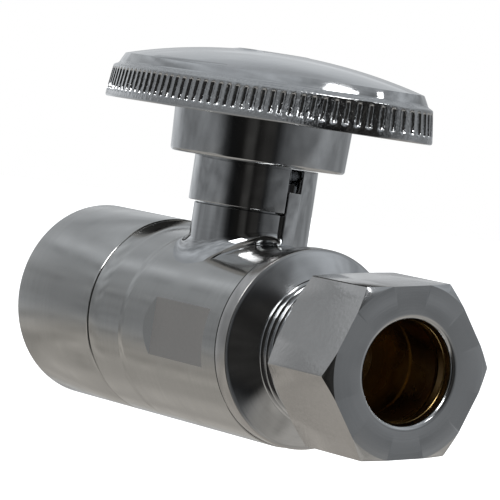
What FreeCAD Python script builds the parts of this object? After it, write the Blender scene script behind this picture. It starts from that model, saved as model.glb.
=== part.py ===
"""In-line quarter-turn supply stop valve, as separate pieces in millimetres.

+X is the flow direction, from the inlet socket to the compression outlet, and +Z points up along the
stem. The origin is the centre of the inlet socket's mouth. The valve is modelled open.
"""
import FreeCAD, Part
import math
import os
from FreeCAD import Vector

# ---------------------------------------------------------------- driving dimensions
# How far a cutting shape runs past what it cuts, and a joined shape into what it joins
overlap = 1.0
fuse_depth = 0.2

# Inlet collar and its socket
socket_radius = 7.99
socket_depth = 12.7
collar_wall = 1.68
collar_floor = 1.35
collar_edge_round = 0.45
collar_back_round = 0.3
inlet_bore_radius = 3.6
web_length = 4.85

# Ball, seats and the chamber around them
ball_radius = 6.2
ball_port_radius = 3.4
ball_slot_depth = 1.5
ball_slot_width = 2.5
chamber_clearance = 0.5
seat_length = 3.4
seat_cup_depth = 2.05
seat_foot_gap = 0.25
seat_outer_clearance = 0.08
seat_ball_clearance = 0.03
seat_bore_radius = 3.5

# Barrel, whose axis lies a little below the waterway's
barrel_wall = 1.72
barrel_drop = 0.37
wrench_flat_depth = 0.57
wrench_flat_length = 12.2
wrench_flat_end_gap = 2.6

# O-rings
ring_section_radius = 0.38
ring_gap = 0.03
groove_width = 0.95

# Outlet adapter, which screws into the barrel
spigot_length = 4.25
spigot_step = 0.8
spigot_clearance = 0.08
spigot_end_gap = 0.3
flange_overhang = 0.23
flange_thickness = 2.0
flange_edge_round = 0.15
flange_land = 0.2
cove_length = 1.25
thread_pitch = 1.0583
thread_crest = 0.085
thread_depth = 0.62
thread_relief = 0.35
adapter_nose_length = 10.75
adapter_bore_radius = 3.4
adapter_ring_from_flange = 1.5
nose_wall = 1.2575
tube_radius = 4.7625
tube_clearance = 0.07
tube_socket_length = 4.0
mouth_length = 1.5
mouth_flare = 1.05

# Stem
stem_radius = 3.0
stem_clearance = 0.05
stem_foot_lip = 0.9
stem_foot_height = 1.2
stem_foot_gap = 0.1
foot_clearance = 0.12
tang_end_gap = 0.1
tang_side_gap = 0.2
washer_thickness = 0.5
washer_gap = 0.03
stem_groove_rises = (0.97, 3.67)
drive_across = 4.6
drive_clearance = 0.05
drive_entry = 0.75
drive_length = 4.7

# Neck and the stop wall on it
neck_step = 0.85
neck_height = 2.97
neck_fillet = 1.3
upper_neck_wall = 1.55
upper_neck_height = 3.05
stop_wall_step = 0.53
stop_wall_height = 4.2
stop_step_height = 2.2
stop_first_deg = 2.0
stop_step_deg = 17.0
stop_last_deg = 88.0

# Handle
hub_radius = 8.64
hub_draft = 0.15
hub_gap = 0.35
hub_height = 4.15
hub_edge_round = 0.35
apron_step = 0.05
apron_inner_gap = 0.4
apron_bottom_gap = 0.15
apron_span_deg = 180.0
apron_edge_round = 0.25
grip_half_length = 23.3
grip_half_width = 11.4
grip_lip_height = 0.75
grip_band_height = 3.25
grip_band_inset = 0.42
grip_bead_height = 0.3
grip_bead_inset = 0.95
grip_crown_height = 0.9
grip_crown_inset = 1.42
dome_height = 2.1
grip_wall = 2.2
grip_recess_depth = 1.9
flute_count = 100
flute_radius = 0.34
flute_depth = 0.3
flute_height = 2.1
outline_steps = 3600

# Handle screw
screw_head_radius = 3.1
screw_head_height = 2.0
screw_head_gap = 0.15
screw_head_depth = 0.12
screw_head_round = 0.25
screw_shank_radius = 1.6
screw_tip_chamfer = 0.4
screw_hole_clearance = 0.05
screw_length = 8.0
screw_slot_length = 3.72
screw_slot_width = 0.9
screw_slot_depth = 0.9

# Compression nut and sleeve
nut_wall = 0.6775
nut_length = 9.95
nut_back_gap = 6.2
nut_turn_deg = 7.7
nut_corner_chamfer_deg = 30.0
nut_thread_clearance = 0.12
nut_lip_round = 0.55
nut_face_wall = 2.3
nut_cone_length = 1.45
sleeve_wall = 0.95
sleeve_edge = 0.2
sleeve_taper = 1.2
sleeve_end_gap = 0.4

# ---------------------------------------------------------------- sizes that follow
collar_radius = socket_radius + collar_wall
chamber_radius = ball_radius + chamber_clearance
spigot_radius = chamber_radius + spigot_step
spigot_bore_radius = spigot_radius + spigot_clearance
barrel_radius = spigot_bore_radius + barrel_wall
flange_radius = barrel_radius + flange_overhang
tube_bore_radius = tube_radius + tube_clearance
mouth_radius = tube_bore_radius + mouth_flare
thread_major_radius = mouth_radius + nose_wall
stem_bore_radius = stem_radius + stem_clearance
stem_foot_radius = stem_radius + stem_foot_lip
upper_neck_radius = stem_bore_radius + upper_neck_wall
neck_radius = upper_neck_radius + neck_step
stop_wall_radius = neck_radius + stop_wall_step
apron_inner_radius = upper_neck_radius + apron_inner_gap
apron_radius = stop_wall_radius + apron_step
nut_thread_radius = thread_major_radius + nut_thread_clearance
nut_face_radius = nut_thread_radius + nut_wall
nut_corner_radius = nut_face_radius * 2 / math.sqrt(3)

# ---------------------------------------------------------------- places that follow
collar_length = socket_depth + collar_floor
seat_inner_reach = max(ball_radius - seat_cup_depth, stem_foot_radius + seat_foot_gap)
seat_reach = seat_inner_reach + seat_length
chamber_back_x = socket_depth + web_length
stem_x = chamber_back_x + seat_reach
spigot_end_x = stem_x + seat_reach
barrel_end_x = spigot_end_x + spigot_length
flange_front_x = barrel_end_x + flange_thickness
thread_start_x = flange_front_x + cove_length
adapter_end_x = flange_front_x + adapter_nose_length
adapter_ring_x = barrel_end_x - adapter_ring_from_flange
mouth_floor_x = adapter_end_x - mouth_length
tube_stop_x = mouth_floor_x - tube_socket_length
nut_back_x = flange_front_x + nut_back_gap
nut_front_x = nut_back_x + nut_length
nut_cone_end_x = nut_front_x - nut_face_wall
foot_bottom_z = ball_radius + stem_foot_gap
foot_top_z = foot_bottom_z + stem_foot_height
pocket_top_z = foot_top_z + washer_gap + washer_thickness + washer_gap
barrel_top_z = barrel_radius - barrel_drop
neck_top_z = barrel_top_z + neck_height
upper_neck_top_z = neck_top_z + upper_neck_height
stop_step_z = neck_top_z + stop_step_height
stop_wall_top_z = neck_top_z + stop_wall_height
apron_bottom_z = neck_top_z + apron_bottom_gap
hub_bottom_z = stop_wall_top_z + hub_gap
drive_start_z = hub_bottom_z + drive_entry
drive_top_z = drive_start_z + drive_length
grip_bottom_z = hub_bottom_z + hub_height
grip_band_top_z = grip_bottom_z + grip_band_height
grip_bead_z = grip_band_top_z + grip_bead_height
grip_crown_z = grip_bead_z + grip_crown_height
dome_top_z = grip_crown_z + dome_height
screw_seat_z = dome_top_z - screw_head_depth - screw_head_height
X_AXIS = Vector(1, 0, 0)
Z_AXIS = Vector(0, 0, 1)


# ---------------------------------------------------------------- shape helpers
def rod_x(x0, x1, radius, z=0.0):
    """A solid cylinder along X."""
    return Part.makeCylinder(radius, x1 - x0, Vector(x0, 0, z), X_AXIS)


def rod_z(z0, z1, radius):
    """A solid cylinder along Z, on the stem axis."""
    return Part.makeCylinder(radius, z1 - z0, Vector(stem_x, 0, z0), Z_AXIS)


def turned_x(profile):
    """Turn a closed (x, radius) outline about the flow axis."""
    points = [Vector(x, 0, r) for x, r in profile]
    face = Part.Face(Part.makePolygon(points + points[:1]))
    return face.revolve(Vector(0, 0, 0), X_AXIS, 360)


def turned_z(profile):
    """Turn a closed (radius, z) outline about the stem axis."""
    points = [Vector(stem_x + r, 0, z) for r, z in profile]
    face = Part.Face(Part.makePolygon(points + points[:1]))
    return face.revolve(Vector(stem_x, 0, 0), Z_AXIS, 360)


def box(x0, x1, y0, y1, z0, z1):
    """An axis-aligned box between two corners."""
    return Part.makeBox(x1 - x0, y1 - y0, z1 - z0, Vector(x0, y0, z0))


def arc_band(r_in, r_out, z0, z1, deg0, deg1):
    """Part of a ring about the stem axis, between two polar angles."""
    span = deg1 - deg0
    outer = Part.makeCylinder(r_out, z1 - z0, Vector(stem_x, 0, z0), Z_AXIS, span)
    inner = Part.makeCylinder(r_in, z1 - z0, Vector(stem_x, 0, z0), Z_AXIS, span)
    band = outer.cut(inner)
    band.rotate(Vector(stem_x, 0, 0), Z_AXIS, deg0)
    return band


def edges_where(shape, test):
    """The edges of a shape whose bounding box passes a test."""
    return [edge for edge in shape.Edges if test(edge.BoundBox)]


def oval(half_length, half_width, z):
    """An ellipse about the stem axis, long along X."""
    curve = Part.Ellipse(Vector(stem_x, 0, z), half_length, half_width)
    return Part.Wire(curve.toShape())


def ring(centre, axis, bore_radius):
    """An O-ring that fills a bore."""
    return Part.makeTorus(bore_radius - ring_section_radius - ring_gap, ring_section_radius, centre, axis)


# ---------------------------------------------------------------- valve body
def make_body():
    collar = rod_x(0, collar_length, collar_radius)
    mouth = edges_where(collar, lambda b: b.XMax < 0.01)
    back = edges_where(collar, lambda b: b.XMin > collar_length - 0.01)
    collar = collar.makeFillet(collar_edge_round, mouth).makeFillet(collar_back_round, back)
    barrel = rod_x(collar_length - overlap, barrel_end_x, barrel_radius, -barrel_drop)
    neck = rod_z(0, neck_top_z, neck_radius)
    outside = barrel.fuse(neck)
    outside = outside.makeFillet(neck_fillet, edges_where(outside, is_neck_root))
    outside = outside.cut([wrench_slab(-1), wrench_slab(1)])
    upper_neck = rod_z(0, upper_neck_top_z, upper_neck_radius)
    low_wall = arc_band(stem_radius / 2, stop_wall_radius, 0, stop_step_z, stop_first_deg, stop_last_deg)
    high_wall = arc_band(stem_radius / 2, stop_wall_radius, 0, stop_wall_top_z,
                         stop_step_deg, stop_last_deg)
    outside = outside.fuse([collar, upper_neck, low_wall, high_wall])
    return outside.cut(body_cavities())


def is_neck_root(bounds):
    """True for the curved edge where the neck stands on the barrel."""
    reach = neck_radius + fuse_depth
    near = bounds.XMin > stem_x - reach and bounds.XMax < stem_x + reach
    return near and bounds.ZMin > barrel_top_z / 2 and bounds.ZMax < neck_top_z - fuse_depth


def wrench_slab(side):
    """The block that cuts the wrench flat on one side of the barrel."""
    flat_end = barrel_end_x - wrench_flat_end_gap
    y0, y1 = sorted((side * (barrel_radius - wrench_flat_depth), side * 2 * barrel_radius))
    return box(flat_end - wrench_flat_length, flat_end, y0, y1, -2 * barrel_radius, 2 * barrel_radius)


def body_cavities():
    """The socket, the waterway, the ball chamber, the spigot's thread bore and the stem bore."""
    cuts = [
        rod_x(-overlap, socket_depth, socket_radius),
        rod_x(socket_depth - overlap, chamber_back_x + overlap, inlet_bore_radius),
        rod_x(chamber_back_x, barrel_end_x + overlap, chamber_radius),
        rod_x(spigot_end_x - spigot_end_gap, barrel_end_x + overlap, spigot_bore_radius),
        rod_z(0, pocket_top_z, stem_foot_radius + foot_clearance),
        rod_z(0, stop_wall_top_z + overlap, stem_bore_radius),
    ]
    return cuts[0].fuse(cuts[1:])


# ---------------------------------------------------------------- ball and seats
def make_ball():
    ball = Part.makeSphere(ball_radius, Vector(stem_x, 0, 0))
    ball = ball.cut(rod_x(stem_x - 2 * ball_radius, stem_x + 2 * ball_radius, ball_port_radius))
    half = ball_slot_width / 2
    slot = box(stem_x - 2 * ball_radius, stem_x + 2 * ball_radius, -half, half,
               ball_radius - ball_slot_depth, ball_radius + overlap)
    return ball.cut(slot)


def make_seat(direction):
    """A seat ring that cups the ball, on its inlet (-1) or outlet (+1) side."""
    outer_x = stem_x + direction * seat_reach
    inner_x = outer_x - direction * seat_length
    x0, x1 = sorted((outer_x, inner_x))
    seat = rod_x(x0, x1, chamber_radius - seat_outer_clearance)
    seat = seat.cut(rod_x(x0 - overlap, x1 + overlap, seat_bore_radius))
    return seat.cut(Part.makeSphere(ball_radius + seat_ball_clearance, Vector(stem_x, 0, 0)))


# ---------------------------------------------------------------- outlet adapter
def make_adapter():
    profile = [(spigot_end_x, adapter_bore_radius), (spigot_end_x, spigot_radius),
               (barrel_end_x, spigot_radius), (barrel_end_x, flange_radius),
               (flange_front_x, flange_radius), (flange_front_x, flange_radius - flange_land)]
    # The concave face between the flange and the thread is a quarter of an ellipse.
    reach = flange_radius - flange_land - thread_major_radius
    for step in range(1, 7):
        turn = math.radians(90 * step / 6)
        profile.append((flange_front_x + cove_length * (1 - math.cos(turn)),
                        flange_radius - flange_land - reach * math.sin(turn)))
    chamfer = thread_depth
    profile += [(adapter_end_x - chamfer, thread_major_radius),
                (adapter_end_x, thread_major_radius - chamfer), (adapter_end_x, mouth_radius),
                (mouth_floor_x, tube_bore_radius), (tube_stop_x, tube_bore_radius),
                (tube_stop_x, adapter_bore_radius)]
    adapter = turned_x(profile)
    rim = edges_where(adapter, lambda b: b.ZMax > flange_radius - 0.01 and b.XMax - b.XMin < 0.01)
    adapter = adapter.makeFillet(flange_edge_round, rim)
    half = groove_width / 2
    groove = rod_x(adapter_ring_x - half, adapter_ring_x + half, spigot_radius + overlap)
    core = rod_x(adapter_ring_x - overlap, adapter_ring_x + overlap, groove_floor(spigot_bore_radius))
    return cut_thread(adapter.cut(groove.cut(core)))


def cut_thread(solid):
    """Cut a V groove along a right-hand helix, from the relief to past the nose."""
    start = thread_start_x + thread_relief
    length = adapter_end_x - start + thread_pitch
    helix = Part.makeLongHelix(thread_pitch, length, thread_major_radius)
    half = (thread_pitch - thread_crest) / 2
    tip = thread_major_radius - thread_depth
    outer = thread_major_radius + thread_crest / 2
    section = Part.makePolygon([Vector(tip, 0, 0), Vector(outer, 0, -half), Vector(outer, 0, half),
                                Vector(tip, 0, 0)])
    groove = Part.Wire(helix.Edges).makePipeShell([section], True, True)
    groove.rotate(Vector(0, 0, 0), Vector(0, 1, 0), 90)
    groove.translate(Vector(start, 0, 0))
    return solid.cut(groove)


# ---------------------------------------------------------------- stem
def make_stem():
    half = (ball_slot_width - 2 * drive_clearance) / 2
    shaft = rod_z(foot_bottom_z, drive_start_z, stem_radius)
    foot = rod_z(foot_bottom_z, foot_top_z, stem_foot_radius)
    tang_tip = ball_radius - ball_slot_depth + tang_end_gap
    tang = box(stem_x - stem_foot_radius, stem_x + stem_foot_radius, -half, half,
               tang_tip, foot_bottom_z + fuse_depth)
    tang = tang.common(rod_z(tang_tip, foot_top_z, stem_foot_radius - tang_side_gap))
    drive = two_flats(drive_start_z - fuse_depth, drive_top_z, 0)
    stem = foot.fuse([shaft, tang, drive]).removeSplitter()
    for z in stem_groove_zs():
        groove = rod_z(z - groove_width / 2, z + groove_width / 2, stem_radius + overlap)
        stem = stem.cut(groove.cut(rod_z(z - overlap, z + overlap, groove_floor(stem_bore_radius))))
    hole = screw_shank_radius + screw_hole_clearance
    return stem.cut(rod_z(drive_top_z - screw_length, drive_top_z + overlap, hole))


def two_flats(z0, z1, clearance):
    """The stem's driving end, a rod with two flats, enlarged by a clearance."""
    half = drive_across / 2 + clearance
    rod = rod_z(z0, z1, stem_radius + clearance)
    return rod.common(box(stem_x - 2 * stem_radius, stem_x + 2 * stem_radius, -half, half, z0, z1))


def stem_groove_zs():
    """The heights of the stem's two O-ring grooves."""
    return [barrel_top_z + rise for rise in stem_groove_rises]


def groove_floor(bore_radius):
    """The radius at the bottom of an O-ring's groove, for a ring that fills a bore."""
    return bore_radius - 2 * (ring_section_radius + ring_gap)


def make_washer():
    washer = rod_z(foot_top_z + washer_gap, foot_top_z + washer_gap + washer_thickness, stem_foot_radius)
    return washer.cut(rod_z(foot_top_z - overlap, pocket_top_z + overlap, stem_bore_radius))


# ---------------------------------------------------------------- handle
def grip_layer(inset0, z0, inset1, z1):
    """A straight-sided slice of the oval grip between two heights."""
    lower = oval(grip_half_length - inset0, grip_half_width - inset0, z0)
    upper = oval(grip_half_length - inset1, grip_half_width - inset1, z1)
    return Part.makeLoft([lower, upper], True, True)


def make_dome():
    """A spherical cap stretched into the grip's oval."""
    base = grip_half_width - grip_crown_inset
    sphere_radius = (base ** 2 + dome_height ** 2) / (2 * dome_height)
    sphere = Part.makeSphere(sphere_radius, Vector(0, 0, dome_height - sphere_radius))
    upper = Part.makeBox(4 * base, 4 * base, dome_height + overlap, Vector(-2 * base, -2 * base, 0))
    cap = sphere.common(upper)
    stretch = FreeCAD.Matrix()
    stretch.scale((grip_half_length - grip_crown_inset) / base, 1, 1)
    cap = cap.transformGeometry(stretch)
    cap.translate(Vector(stem_x, 0, grip_crown_z))
    return cap


def oval_stations(count):
    """Points and outward directions at equal spacing along the grip's outline."""
    a, b = grip_half_length, grip_half_width
    turns = [2 * math.pi * k / outline_steps for k in range(outline_steps + 1)]
    outline = [(a * math.cos(turn), b * math.sin(turn)) for turn in turns]
    lengths = [0.0]
    for (xa, ya), (xb, yb) in zip(outline, outline[1:]):
        lengths.append(lengths[-1] + math.hypot(xb - xa, yb - ya))
    stations, k = [], 0
    for n in range(count):
        target = lengths[-1] * (n + 0.5) / count
        while lengths[k + 1] < target:
            k += 1
        x, y = outline[k]
        normal = Vector(x / a ** 2, y / b ** 2, 0).normalize()
        stations.append((Vector(x, y, 0), normal))
    return stations


def make_flutes():
    """The upright grooves around the grip, leaning with its side."""
    slope = grip_band_inset / grip_band_height
    base = Vector(stem_x, 0, grip_bottom_z + grip_lip_height)
    flutes = []
    for point, normal in oval_stations(flute_count):
        foot = base + point + normal * (flute_radius - flute_depth - slope * grip_lip_height)
        flutes.append(Part.makeCylinder(flute_radius, flute_height, foot, Z_AXIS - normal * slope))
    return Part.makeCompound(flutes)


def make_handle():
    layers = [grip_layer(0, grip_bottom_z, grip_band_inset, grip_band_top_z),
              grip_layer(grip_band_inset, grip_band_top_z, grip_bead_inset, grip_bead_z),
              grip_layer(grip_bead_inset, grip_bead_z, grip_crown_inset, grip_crown_z)]
    grip = layers[0].fuse(layers[1:] + [make_dome()])
    recess = grip_layer(grip_wall, grip_bottom_z - overlap, grip_wall, grip_bottom_z + grip_recess_depth)
    grip = grip.cut(recess).cut(make_flutes())
    hub_top = grip_bottom_z + grip_recess_depth + fuse_depth
    hub = turned_z([(0, hub_bottom_z), (hub_radius - hub_draft, hub_bottom_z), (hub_radius, grip_bottom_z),
                    (hub_radius, hub_top), (0, hub_top)])
    hub = hub.makeFillet(hub_edge_round, edges_where(hub, lambda b: b.ZMax < hub_bottom_z + 0.01))
    apron = arc_band(apron_inner_radius, apron_radius, apron_bottom_z, hub_bottom_z + fuse_depth,
                     -apron_span_deg, 0)
    outer_edges = edges_where(apron, lambda b: b.ZMax < apron_bottom_z + 0.01
                              and b.XMax - b.XMin > apron_inner_radius + apron_radius)
    apron = apron.makeFillet(apron_edge_round, outer_edges)
    handle = grip.fuse([hub, apron])
    return handle.cut(handle_bores()).removeSplitter()


def handle_bores():
    """The stem's drive hole, the screw hole and the screw's counterbore."""
    drive = two_flats(drive_start_z, drive_top_z + tang_end_gap, drive_clearance)
    entry = rod_z(hub_bottom_z - overlap, drive_start_z, stem_radius + drive_clearance)
    hole = rod_z(drive_top_z, screw_seat_z + overlap, screw_shank_radius + 2 * screw_hole_clearance)
    counterbore = rod_z(screw_seat_z, dome_top_z + overlap, screw_head_radius + screw_head_gap)
    return drive.fuse([entry, hole, counterbore])


def make_screw():
    head_top = screw_seat_z + screw_head_height
    head = rod_z(screw_seat_z, head_top, screw_head_radius)
    head = head.makeFillet(screw_head_round, edges_where(head, lambda b: b.ZMin > head_top - 0.01))
    reach, half = screw_slot_length / 2, screw_slot_width / 2
    for turn in (45, 135):
        slot = box(-reach, reach, -half, half, head_top - screw_slot_depth, head_top + overlap)
        slot.rotate(Vector(0, 0, 0), Z_AXIS, turn)
        slot.translate(Vector(stem_x, 0, 0))
        head = head.cut(slot)
    tip_z = screw_seat_z - screw_length
    shank = rod_z(tip_z, screw_seat_z + fuse_depth, screw_shank_radius)
    shank = shank.makeChamfer(screw_tip_chamfer, edges_where(shank, lambda b: b.ZMax < tip_z + 0.01))
    return head.fuse(shank).removeSplitter()


# ---------------------------------------------------------------- compression nut and sleeve
def make_nut():
    corners = []
    for k in range(7):
        turn = math.radians(nut_turn_deg + 60 * k)
        corners.append(Vector(nut_back_x, nut_corner_radius * math.cos(turn),
                              nut_corner_radius * math.sin(turn)))
    hexagon = Part.Face(Part.makePolygon(corners)).extrude(Vector(nut_length, 0, 0))
    reach = nut_corner_radius + overlap
    drop = (reach - nut_face_radius) * math.tan(math.radians(nut_corner_chamfer_deg))
    bore = tube_bore_radius
    cone_x = nut_cone_end_x - nut_cone_length
    turned = turned_x([(nut_back_x, nut_thread_radius), (nut_back_x, nut_face_radius),
                       (nut_back_x + drop, reach), (nut_front_x - drop, reach),
                       (nut_front_x, nut_face_radius), (nut_front_x, bore), (nut_cone_end_x, bore),
                       (cone_x, bore + nut_cone_length), (cone_x, nut_thread_radius)])
    halfway = (bore + nut_face_radius) / 2
    lip = edges_where(turned, lambda b: b.XMin > nut_front_x - 0.01 and b.ZMax < halfway)
    return hexagon.common(turned.makeFillet(nut_lip_round, lip))


def make_sleeve():
    """A ring with a taper at each end, lying between the nut's cone and the adapter's mouth."""
    front_x = nut_cone_end_x - sleeve_end_gap
    back_x = mouth_floor_x + sleeve_end_gap
    inner = tube_bore_radius
    outer = inner + sleeve_wall
    edge = inner + sleeve_edge
    return turned_x([(back_x, inner), (back_x, edge), (back_x + sleeve_taper, outer),
                     (front_x - sleeve_taper, outer), (front_x, edge), (front_x, inner)])


# ---------------------------------------------------------------- the pieces
def make_pieces():
    pieces = {
        "body": make_body(),
        "seat_inlet": make_seat(-1),
        "seat_outlet": make_seat(1),
        "ball": make_ball(),
        "outlet_adapter": make_adapter(),
        "adapter_o_ring": ring(Vector(adapter_ring_x, 0, 0), X_AXIS, spigot_bore_radius),
        "stem": make_stem(),
        "thrust_washer": make_washer(),
        "handle": make_handle(),
        "handle_screw": make_screw(),
        "compression_nut": make_nut(),
        "compression_sleeve": make_sleeve(),
    }
    for name, z in zip(("stem_o_ring_lower", "stem_o_ring_upper"), stem_groove_zs()):
        pieces[name] = ring(Vector(stem_x, 0, z), Z_AXIS, stem_bore_radius)
    return pieces


os.makedirs("parts", exist_ok=True)
for node, solid in make_pieces().items():
    if len(solid.Solids) == 1:
        solid = solid.Solids[0]
    solid.exportStep(os.path.join("parts", node + ".step"))
    bounds = solid.optimalBoundingBox()
    spans = (bounds.XMin, bounds.XMax, bounds.YMin, bounds.YMax, bounds.ZMin, bounds.ZMax)
    print(node, solid.ShapeType, "valid" if solid.isValid() else "NOT VALID",
          round(solid.Volume, 1), "mm3", [round(value, 2) for value in spans])
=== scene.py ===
# %% [markdown]
# # A quarter-turn stop valve in polished chrome
# The valve is built on a frame that is already settled: the CAD model gives every size and place, and
# this file gives the looks. The outside is four pieces: the body, the outlet adapter, the nut and the
# handle. They are modelled again here, finer than the frame has them. The ball, the stem, the screw and
# the rings keep the frame's own meshes and only get a finish. We load the frame first and keep its box.

# %% Load the frame
import math

import bmesh
import bpy
from mathutils import Matrix, Vector


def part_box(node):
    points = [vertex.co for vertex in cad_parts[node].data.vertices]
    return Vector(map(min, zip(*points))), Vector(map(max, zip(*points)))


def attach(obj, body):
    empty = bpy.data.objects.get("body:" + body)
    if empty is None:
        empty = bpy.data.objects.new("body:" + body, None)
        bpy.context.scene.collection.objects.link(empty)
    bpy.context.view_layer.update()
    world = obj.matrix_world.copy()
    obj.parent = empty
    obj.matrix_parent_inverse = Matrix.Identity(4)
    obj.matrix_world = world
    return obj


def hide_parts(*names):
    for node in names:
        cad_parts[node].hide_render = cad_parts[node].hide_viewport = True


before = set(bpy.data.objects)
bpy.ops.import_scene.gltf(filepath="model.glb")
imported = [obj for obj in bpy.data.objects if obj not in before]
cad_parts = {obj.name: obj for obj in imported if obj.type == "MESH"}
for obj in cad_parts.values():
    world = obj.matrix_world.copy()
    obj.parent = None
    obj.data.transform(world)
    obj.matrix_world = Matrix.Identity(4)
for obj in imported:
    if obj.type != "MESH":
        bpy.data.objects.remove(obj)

bpy.context.view_layer.update()

mm = 0.001

# %% [markdown]
# ## Places that the frame gives
# A size that is written twice will one day disagree with itself. So what the frame already knows, such
# as where the stem stands or how long the handle is, is read from the boxes round its pieces. Sizes
# are in millimetres throughout, and are multiplied by mm where Blender wants metres.

# %% Places that the frame gives
def box_of(name):
    return [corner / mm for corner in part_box(name)]


body_low, body_high = box_of("body")
handle_low, handle_high = box_of("handle")
adapter_low, adapter_high = box_of("outlet_adapter")
nut_low, nut_high = box_of("compression_nut")
screw_high = box_of("handle_screw")[1]

stem_x = (handle_low.x + handle_high.x) / 2
stem_line = (stem_x, 0, 0)
collar_radius = body_high.y
barrel_end = body_high.x
stop_top = body_high.z
grip_length = (handle_high.x - handle_low.x) / 2
grip_width = (handle_high.y - handle_low.y) / 2
apron_bottom = handle_low.z
flange_radius = adapter_high.y
print("stem axis at x", round(stem_x, 2), "collar radius", round(collar_radius, 2))

# %% [markdown]
# ## Working habits
# An operator acts on everything that is selected, and the frame arrives selected, so each step starts
# from nothing. Most of this valve comes off a lathe. By hand, a lathe part is a circle that is pulled
# along its axis ring by ring: extrude the loop, slide it, scale it. The Spin tool would do it too, but
# it leaves a seam to close. So one helper pulls a circle along any outline, and every turned part is
# drawn as a short list of places and radii.

# %% A clean start, and a lathe
def start_clean(piece=None):
    """Leave edit mode, select nothing, and make the piece the one that operators work on."""
    if bpy.context.object and bpy.context.object.mode != "OBJECT":
        bpy.ops.object.mode_set(mode="OBJECT")
    bpy.ops.object.select_all(action="DESELECT")
    if piece:
        bpy.context.view_layer.objects.active = piece


def settle(piece, name):
    """Name a new piece, and put its place, turn and size into its mesh."""
    piece.name = name
    bpy.ops.object.transform_apply(location=True, rotation=True, scale=True)
    return piece


def report(piece):
    """Say how many faces a piece has and whether its shell is closed."""
    mesh = bmesh.new()
    mesh.from_mesh(piece.data)
    gaps = sum(1 for edge in mesh.edges if not edge.is_manifold)
    print(piece.name, "has", len(mesh.faces), "faces and", gaps, "open or doubled edges")
    mesh.free()


def close_shell():
    """In edit mode: merge what lies in one place, turn every face outwards, and leave edit mode."""
    bpy.ops.mesh.select_all(action="SELECT")
    bpy.ops.mesh.remove_doubles(threshold=0.002 * mm)
    bpy.ops.mesh.normals_make_consistent(inside=False)
    bpy.ops.object.mode_set(mode="OBJECT")


def turn(name, axis, centre, outline, steps=192):
    """Pull a circle along an axis through (place, radius) points. The last point meets the first."""
    start_clean()
    along = Vector((1, 0, 0)) if axis == "X" else Vector((0, 0, 1))
    tilt = (0, math.pi / 2, 0) if axis == "X" else (0, 0, 0)
    place, radius = outline[0]
    bpy.ops.mesh.primitive_circle_add(vertices=steps, radius=radius * mm, rotation=tilt,
                                      location=(Vector(centre) + along * place) * mm)
    piece = settle(bpy.context.object, name)
    bpy.ops.object.mode_set(mode="EDIT")
    bpy.ops.mesh.select_mode(type="VERT")
    bpy.ops.mesh.select_all(action="SELECT")
    for next_place, next_radius in outline[1:]:
        slide = along * (next_place - place) * mm
        bpy.ops.mesh.extrude_region_move(TRANSFORM_OT_translate={"value": slide})
        grow = next_radius / radius
        size = (1, grow, grow) if axis == "X" else (grow, grow, 1)
        pivot = (Vector(centre) + along * next_place) * mm
        bpy.ops.transform.resize(value=size, center_override=pivot)
        place, radius = next_place, next_radius
    close_shell()
    report(piece)
    return piece


def arc(place, radius, size, from_deg, to_deg, steps=5):
    """Points on a round of the outline, about a centre, for the lathe."""
    turns = [math.radians(from_deg + (to_deg - from_deg) * k / steps) for k in range(steps + 1)]
    return [(place + size * math.cos(t), radius + size * math.sin(t)) for t in turns]


# %% [markdown]
# ## Bench work
# A turned or milled blank isn't finished: its edges are broken, its pockets are cut, and its parts are
# joined. These helpers do that with modifiers that are applied at once. Faces and edges are picked by
# where they lie, because their numbers change with every edit.

# %% Soften, smooth, carve and join
def smooth(piece, degrees):
    """Shade a piece smooth, except where its faces meet at more than an angle."""
    start_clean(piece)
    piece.select_set(True)
    bpy.ops.object.shade_smooth_by_angle(angle=math.radians(degrees))


def soften(piece, width, degrees=40, segments=2):
    """Break the sharp edges, as tumbling and plating do."""
    start_clean(piece)
    bevel = piece.modifiers.new("broken_edges", "BEVEL")
    bevel.width = width * mm
    bevel.segments = segments
    bevel.limit_method = "ANGLE"
    bevel.angle_limit = math.radians(degrees)
    bpy.ops.object.modifier_apply(modifier=bevel.name)


def carve(piece, tool, operation="DIFFERENCE"):
    """Cut a piece with a tool, and throw the tool away."""
    start_clean(piece)
    cut = piece.modifiers.new("cut", "BOOLEAN")
    cut.operation = operation
    cut.object = tool
    cut.solver = "EXACT"
    bpy.ops.object.modifier_apply(modifier=cut.name)
    bpy.data.objects.remove(tool)
    report(piece)


def join(pieces, name):
    """Make one object of several, which keep their materials."""
    start_clean(pieces[0])
    for piece in pieces:
        piece.select_set(True)
    bpy.ops.object.join()
    whole = bpy.context.object
    whole.name = name
    report(whole)
    return whole


# %% Pick faces or edges by place
def pick_faces(piece, test):
    """Select the faces whose middle, in mm, and normal pass a test, and stay in edit mode."""
    start_clean(piece)
    bpy.ops.object.mode_set(mode="EDIT")
    bpy.ops.mesh.select_mode(type="FACE")
    mesh = bmesh.from_edit_mesh(piece.data)
    for face in mesh.faces:
        face.select_set(test(face.calc_center_median() / mm, face.normal))
    mesh.select_flush(True)
    bmesh.update_edit_mesh(piece.data)
    return sum(face.select for face in mesh.faces)


def pick_edges(piece, test):
    """Select the edges that pass a test, and stay in edit mode."""
    start_clean(piece)
    bpy.ops.object.mode_set(mode="EDIT")
    bpy.ops.mesh.select_mode(type="EDGE")
    mesh = bmesh.from_edit_mesh(piece.data)
    for face in mesh.faces:
        face.select_set(False)
    for edge in mesh.edges:
        edge.select_set(test(edge))
    bmesh.update_edit_mesh(piece.data)
    return sum(edge.select for edge in mesh.edges)


def is_level(edge, level):
    """Whether both ends of an edge lie at a height in mm."""
    return all(abs(vert.co.z / mm - level) < 0.001 for vert in edge.verts)


def from_axis(point):
    """Distance of a point from the flow axis, in mm."""
    return math.hypot(point.y, point.z)


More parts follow.
